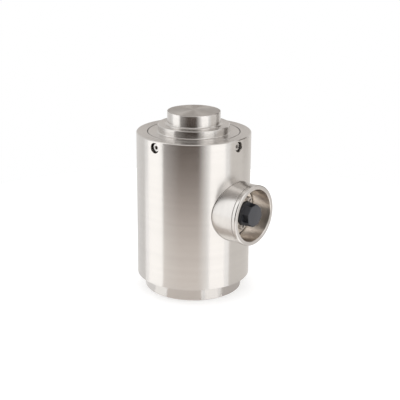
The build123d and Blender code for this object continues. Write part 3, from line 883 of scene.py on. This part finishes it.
def make_screw_tree():
    """One socket screw, repeated round a circle. Its shank starts inside its head."""
    tree, given, result = new_tree(
        "socket_screws",
        ("Head Radius", "Float", 2.8 * MM), ("Head Height", "Float", 3.0 * MM),
        ("Chamfer", "Float", 0.3 * MM), ("Knurls", "Int", 32), ("Knurl Depth", "Float", 0.1 * MM),
        ("Socket Radius", "Float", 1.44 * MM), ("Socket Depth", "Float", 1.6 * MM),
        ("Shank Radius", "Float", 1.45 * MM), ("Shank Length", "Float", 8.0 * MM),
        ("Count", "Int", SCREW_COUNT), ("Circle Radius", "Float", 30.0 * MM),
        ("Outward", "Float", 1.0), ("Turn", "Float", 0.0),
    )
    length = given["Shank Length"]
    shank = cylinder(tree, SHANK_SIDES, given["Shank Radius"], times(tree, length, 1 + SHANK_OVERLAP))
    shank = lifted(tree, shank, times(tree, length, (SHANK_OVERLAP - 1) / 2))
    screw = boolean_node(tree, "UNION", knurled_head(tree, given), shank)
    # The key is centred on the head's top, so half of it is in the head.
    key = cylinder(tree, KEY_SIDES, given["Socket Radius"], times(tree, given["Socket Depth"], 2))
    screw = boolean_node(tree, "DIFFERENCE", screw, lifted(tree, key, given["Head Height"]))
    ring = add_node(tree, "GeometryNodeMeshCircle", given["Count"], given["Circle Radius"])
    where = add_node(tree, "GeometryNodeInputPosition").outputs[0]
    along = add_node(tree, "ShaderNodeMix", data_type="VECTOR", Factor=given["Outward"],
                     A=(0, 0, 1), B=where).outputs["Result"]
    aim = add_node(tree, "FunctionNodeAlignRotationToVector", axis="Z", Vector=along).outputs[0]
    copies = add_node(tree, "GeometryNodeInstanceOnPoints", Points=ring.outputs["Mesh"],
                      Instance=screw, Rotation=aim).outputs[0]
    turned = add_node(tree, "GeometryNodeTransform", Geometry=copies,
                      Rotation=join_node(tree, 0, 0, given["Turn"])).outputs[0]
    return end_tree(tree, turned, "screw_steel", result)


screw_tree = make_screw_tree()
print("tree", screw_tree.name, "with", len(screw_tree.nodes), "nodes")

# %% [markdown]
# A tree is only a recipe. To use it, an empty mesh gets the modifier, the inputs are set by their
# identifiers, and the evaluated result is copied to a plain mesh, because the finished part must not
# depend on a live modifier. The place goes into the mesh itself, so the object stays at the origin.

# %% Bake a tree into a plain piece
def baked(holder):
    """The plain mesh that a holder's modifiers make. The holder goes."""
    depsgraph = bpy.context.evaluated_depsgraph_get()
    depsgraph.update()
    mesh = bpy.data.meshes.new_from_object(holder.evaluated_get(depsgraph), depsgraph=depsgraph)
    holder.modifiers.clear()
    bpy.data.objects.remove(holder)
    return mesh


def grow(tree, name, placement, **values):
    """Evaluates a tree with the given inputs and returns a plain, placed object."""
    holder = show(name + "_recipe", bpy.data.meshes.new(name + "_recipe"))
    modifier = holder.modifiers.new("recipe", "NODES")
    modifier.node_group = tree
    keys = {item.name: item.identifier for item in tree.interface.items_tree if item.in_out == "INPUT"}
    for label, value in values.items():
        modifier[keys[label.replace("_", " ")]] = value
    mesh = baked(holder)
    mesh.name = name
    mesh.transform(placement)
    return show(name, mesh)


def soften(piece, angle_degrees):
    """Smooth shading with creases kept, done in the mesh data."""
    piece.data.shade_smooth()
    form = bmesh.new()
    form.from_mesh(piece.data)
    bmesh.ops.recalc_face_normals(form, faces=form.faces)
    limit = math.radians(angle_degrees)
    for edge in form.edges:
        edge.smooth = len(edge.link_faces) == 2 and edge.calc_face_angle(0) < limit
    form.to_mesh(piece.data)
    form.free()


def on_root(piece, slot, *replaced):
    """Hangs a finished piece on the root body and hides the solids it replaces."""
    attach(piece, "root")
    if replaced:
        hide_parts(*replaced)
    print(piece.name, len(piece.data.polygons), "faces")


print("baking helpers are ready")

# %% [markdown]
# The four sleeve screws sit in counterbores just under the top edge. They are short cap screws, sunk
# until the head stands a little below the surface, and they keep the sleeve from turning. The smaller
# four hold the connector flange on the floor of the port. A key's size is given across its flats, and
# the tree wants the radius of the corners.

# %% Screws
SLEEVE_SCREW_SEAT = 34.8 * MM
SLEEVE_SCREW_HEIGHT = 107.6 * MM
SLEEVE_SCREW_KEY = 2.5 * MM
FLANGE_SCREW_SEAT = 38.9 * MM
FLANGE_SCREW_CIRCLE = 13.3 * MM
FLANGE_SCREW_TURN = math.radians(23.0)
FLANGE_SCREW_KEY = 2.0 * MM
CORNER_SHARE = 0.5 / math.cos(math.pi / KEY_SIDES)
SCREW_CREASE = 12

sleeve_screws = grow(
    screw_tree, "sleeve_screws", Matrix.Translation((0, 0, SLEEVE_SCREW_HEIGHT)),
    Circle_Radius=SLEEVE_SCREW_SEAT, Socket_Radius=SLEEVE_SCREW_KEY * CORNER_SHARE,
)
soften(sleeve_screws, SCREW_CREASE)
on_root(sleeve_screws, "screw_steel", *[f"sleeve_screw_{k + 1}" for k in range(SCREW_COUNT)])
flange_screws = grow(
    screw_tree, "flange_screws",
    Matrix.Translation((FLANGE_SCREW_SEAT, 0, PORT_HEIGHT)) @ Matrix.Rotation(math.pi / 2, 4, "Y"),
    Head_Radius=2.3 * MM, Head_Height=1.5 * MM, Chamfer=0.35 * MM, Knurls=24, Knurl_Depth=0.06 * MM,
    Socket_Radius=FLANGE_SCREW_KEY * CORNER_SHARE, Socket_Depth=0.9 * MM, Shank_Radius=1.2 * MM,
    Shank_Length=5.6 * MM, Circle_Radius=FLANGE_SCREW_CIRCLE, Outward=0.0, Turn=FLANGE_SCREW_TURN,
)
soften(flange_screws, SCREW_CREASE)
on_root(flange_screws, "screw_steel", *[f"flange_screw_{k + 1}" for k in range(SCREW_COUNT)])

# %% [markdown]
# The collar is welded to the sleeve with a fine laser seam, which is cleaned afterwards and leaves
# only a narrow line in the corner. The bead is darker than the steel, partly the weld's heat tint and
# partly painted shade for the dark line in the corner. Where one cylinder meets another the corner
# runs along a saddle, so the tree bends a ring of points onto it: each point keeps its place round the
# port, and takes the reach that the sleeve's radius gives it there. A shallow wave in its thickness is
# the faint ripple.

# %% Weld seam
COLLAR_RADIUS = 20.5 * MM
BEAD_SIDES = 10
RIPPLE_SHARE = 0.05
SEAM_CREASE = 60


def make_seam_tree():
    """A thin closed bead along the line where the collar meets the sleeve."""
    tree, given, result = new_tree(
        "weld_seam",
        ("Collar Radius", "Float", COLLAR_RADIUS), ("Sleeve Radius", "Float", SLEEVE_RADIUS),
        ("Bead Radius", "Float", 0.28 * MM), ("Ripples", "Int", 150), ("Points", "Int", 600),
    )
    ring = add_node(tree, "GeometryNodeMeshCircle", given["Points"], given["Collar Radius"])
    # A place is read where it is used: on the flat ring, and once more on the bent path.
    x, y, z = split_node(tree, add_node(tree, "GeometryNodeInputPosition").outputs[0])
    squared = times(tree, given["Sleeve Radius"], given["Sleeve Radius"])
    reach = math_node("SQRT", tree, minus(tree, squared, times(tree, x, x)))
    bent = add_node(tree, "GeometryNodeSetPosition", Geometry=ring.outputs["Mesh"],
                    Position=join_node(tree, reach, x, y))
    path = add_node(tree, "GeometryNodeMeshToCurve", bent.outputs[0])
    angle = math_node("ARCTAN2", tree, z, y)
    wave = math_node("COSINE", tree, times(tree, angle, given["Ripples"]))
    swell = plus(tree, times(tree, wave, RIPPLE_SHARE), 1.0)
    bead = add_node(tree, "GeometryNodeCurvePrimitiveCircle", Resolution=BEAD_SIDES,
                    Radius=given["Bead Radius"])
    tube = add_node(tree, "GeometryNodeCurveToMesh", Curve=path.outputs[0],
                    Profile_Curve=bead.outputs["Curve"], Scale=swell)
    # The bead's darker material is partly heat tint and partly painted shade.
    return end_tree(tree, tube.outputs[0], "weld_tint_and_shade", result)


weld_seam = grow(make_seam_tree(), "weld_seam", Matrix.Translation((0, 0, PORT_HEIGHT)))
soften(weld_seam, SEAM_CREASE)
on_root(weld_seam, "collar_steel")

# %% [markdown]
# The base is tapped for the stud that ties the cell to its mounting plate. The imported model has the
# hole at its tapping size, so the thread is a ridge that winds up inside it: a helix with a diamond
# drawn along it, whose outer half is lost in the wall.

# %% Thread in the base
THREAD_RADIUS = 7.0 * MM
THREAD_PITCH = 2.0 * MM
THREAD_START = 0.9 * MM
THREAD_TURNS = 8.0
RIDGE_SIDE = 0.9 * MM
POINTS_PER_TURN = 48
THREAD_CREASE = 30


def make_thread_tree():
    """A closed ridge that winds up inside a round hole."""
    tree, given, result = new_tree(
        "thread_ridge",
        ("Hole Radius", "Float", THREAD_RADIUS), ("Pitch", "Float", THREAD_PITCH),
        ("Turns", "Float", THREAD_TURNS), ("Ridge Side", "Float", RIDGE_SIDE),
    )
    height = times(tree, given["Pitch"], given["Turns"])
    helix = add_node(tree, "GeometryNodeCurveSpiral", Resolution=POINTS_PER_TURN,
                     Rotations=given["Turns"], Start_Radius=given["Hole Radius"],
                     End_Radius=given["Hole Radius"], Height=height)
    upright = add_node(tree, "GeometryNodeSetCurveNormal", mode="Z_UP", Curve=helix.outputs[0])
    square = add_node(tree, "GeometryNodeCurvePrimitiveQuadrilateral", mode="RECTANGLE",
                      Width=given["Ridge Side"], Height=given["Ridge Side"])
    diamond = add_node(tree, "GeometryNodeTransform", Geometry=square.outputs[0],
                       Rotation=(0, 0, math.pi / 4))
    tube = add_node(tree, "GeometryNodeCurveToMesh", Curve=upright.outputs[0],
                    Profile_Curve=diamond.outputs[0], Fill_Caps=True)
    return end_tree(tree, tube.outputs[0], "column_steel", result)


base_thread = grow(make_thread_tree(), "base_thread", Matrix.Translation((0, 0, THREAD_START)))
soften(base_thread, THREAD_CREASE)
on_root(base_thread, "column_steel")

# %% [markdown]
# The blanking cap is turned in by hand, so its moulding has eight flats, and every second flat is a
# pocket: moulders core thick plastic out so that it doesn't sink as it cools. Seen from the camera the
# pockets are the black places beside the grey flat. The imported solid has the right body, so a copy of
# it is the blank, its round foot is drawn in to what the photograph shows, and four blocks are cut out.

# %% The cap's blank
CAP_FOOT_RADIUS = 9.3 * MM
CAP_FOOT_SHOWN = 8.1 * MM
FOOT_MARGIN, SHOWN_MARGIN = 0.2 * MM, 0.05 * MM
DOUBLES = 0.001 * MM


def reach_from_port(place):
    """How far a place is from the port's axis."""
    return math.hypot(place.y, place.z - PORT_HEIGHT)


def make_blank():
    """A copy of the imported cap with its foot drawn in, and where the foot ends along the port."""
    form = bmesh.new()
    form.from_mesh(nodes["blanking_cap"].data)
    bmesh.ops.remove_doubles(form, verts=form.verts, dist=DOUBLES)
    for vert in form.verts:
        reach = reach_from_port(vert.co)
        if reach > CAP_FOOT_RADIUS - FOOT_MARGIN:
            share = CAP_FOOT_SHOWN / reach
            vert.co.y *= share
            vert.co.z = PORT_HEIGHT + (vert.co.z - PORT_HEIGHT) * share
    bmesh.ops.recalc_face_normals(form, faces=form.faces)
    mesh = mesh_from("turned_cap", form)
    foot = max(vert.co.x for vert in mesh.vertices
               if reach_from_port(vert.co) > CAP_FOOT_SHOWN - SHOWN_MARGIN)
    return mesh, foot


blank_mesh, foot_end = make_blank()
print("foot ends", round(foot_end / MM, 2), "mm from the column's axis")

# %% Four blocks to cut with
CAP_FLAT_REACH = 7.2 * MM
CAP_FIRST_POCKET = math.radians(7.5)
CAP_POCKETS = 4
POCKET_WIDTH = 5.3 * MM
POCKET_DEPTH = 2.8 * MM
POCKET_EDGE = 0.5 * MM


def make_blocks(foot):
    """A block across every second flat, from the foot to a thin wall at the cap's end."""
    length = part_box("blanking_cap")[1].x - foot - 2 * POCKET_EDGE
    size = Matrix.Diagonal((length, 2 * POCKET_DEPTH, POCKET_WIDTH, 1))
    place = Matrix.Translation((foot + POCKET_EDGE + length / 2, CAP_FLAT_REACH, 0))
    form = bmesh.new()
    for number in range(CAP_POCKETS):
        angle = CAP_FIRST_POCKET + 2 * math.pi / CAP_POCKETS * number
        turn = Matrix.Translation((0, 0, PORT_HEIGHT)) @ Matrix.Rotation(angle, 4, "X")
        bmesh.ops.create_cube(form, size=1.0, matrix=turn @ place @ size)
    return mesh_from("pocket_blocks", form)


block_mesh = make_blocks(foot_end)
print(CAP_POCKETS, "blocks,", len(block_mesh.polygons), "faces")

# %% Blanking cap with moulded pockets
CAP_EDGE, EDGE_SEGMENTS = 0.12 * MM, 2
CAP_CREASE = 30


def make_cap():
    """The blank with the blocks cut out and its edges broken."""
    blank, cutter = show("turned_cap_blank", blank_mesh), show("pocket_blocks", block_mesh)
    cut = blank.modifiers.new("pockets", "BOOLEAN")
    cut.operation, cut.solver, cut.object = "DIFFERENCE", "EXACT", cutter
    edges = blank.modifiers.new("edges", "BEVEL")
    edges.width, edges.segments, edges.limit_method = CAP_EDGE, EDGE_SEGMENTS, "ANGLE"
    mesh = baked(blank)
    bpy.data.objects.remove(cutter)
    mesh.materials.clear()
    mesh.materials.append(materials["cap_plastic"])
    return show("turned_cap", mesh)


turned_cap = make_cap()
soften(turned_cap, CAP_CREASE)
on_root(turned_cap, "cap_plastic", "blanking_cap")

# %% [markdown]
# The solids that stay get the finish that the record names for them. Only their material slots
# change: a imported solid's mesh and place are the frame's, and mounts and collision rely on them.

# %% Give every solid its finish
slot_of = {entry["node"]: entry["material_slot"] for entry in frame["record"]["subparts"]}
for node_name, piece in nodes.items():
    for holder in piece.material_slots:
        holder.material = materials[slot_of[node_name]]
print("finished", len(slot_of), "solids with", len(materials), "materials")
